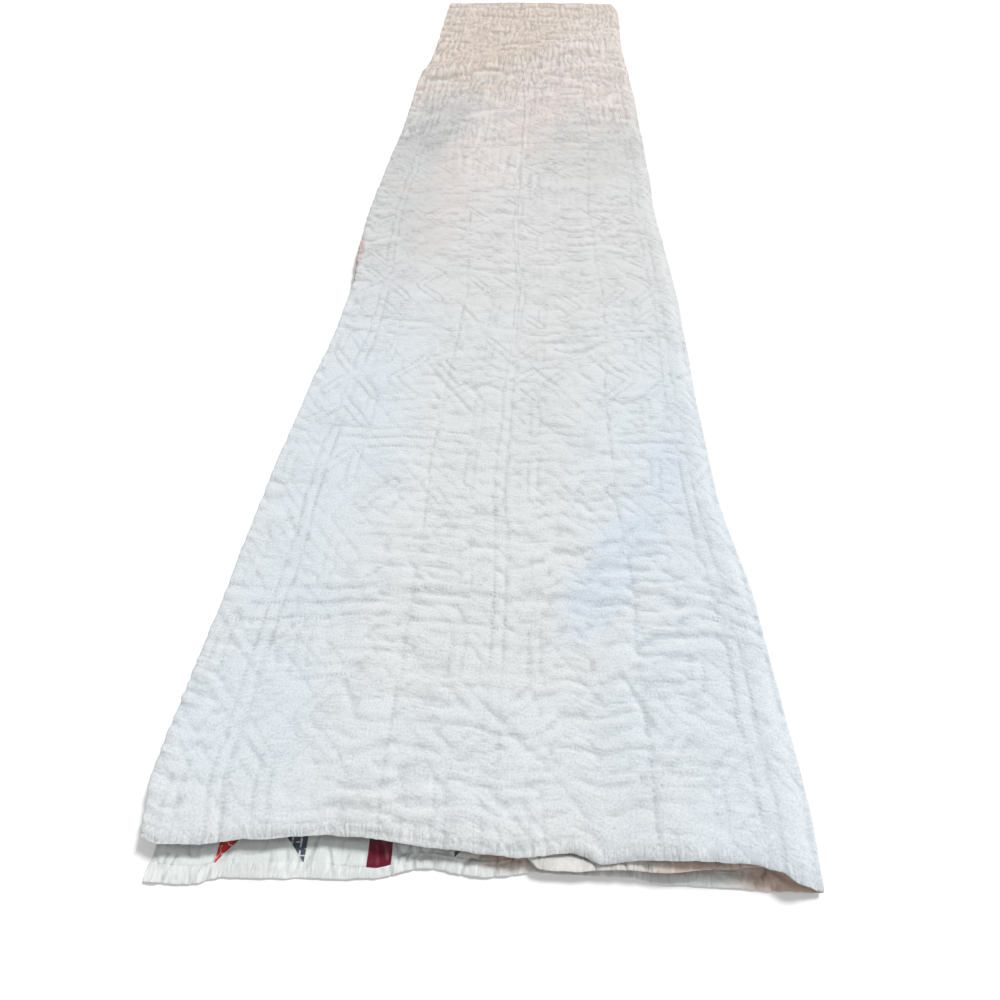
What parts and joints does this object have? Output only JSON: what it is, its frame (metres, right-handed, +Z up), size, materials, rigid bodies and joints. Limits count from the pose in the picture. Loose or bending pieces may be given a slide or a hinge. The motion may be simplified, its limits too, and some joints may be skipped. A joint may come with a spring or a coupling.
{
  "type": "folded patchwork quilt",
  "caption": "Star patchwork quilt folded lengthwise with its plain white quilted back outside and a narrow white binding.",
  "frame": {"origin": "middle of the underside of the folded quilt's box, on the surface that it lies on", "axes": "+X across the folded quilt towards its outer fold, +Y along it from the foot hem to the head hem, +Z up"},
  "size_m": [0.4656, 2.004, 0.0233],
  "materials": {
    "quilted_cotton": "washed white cotton, hand quilted, with a patchwork front of red, slate, plum and burgundy prints",
    "binding_tape": "washed white cotton tape, puckered along its seam"
  },
  "bodies": {
    "root": {"quilt_cloth": "quilted_cotton", "binding_foot": "binding_tape", "binding_head": "binding_tape", "binding_outer_side": "binding_tape", "binding_inner_side": "binding_tape"}
  },
  "joints": []
}
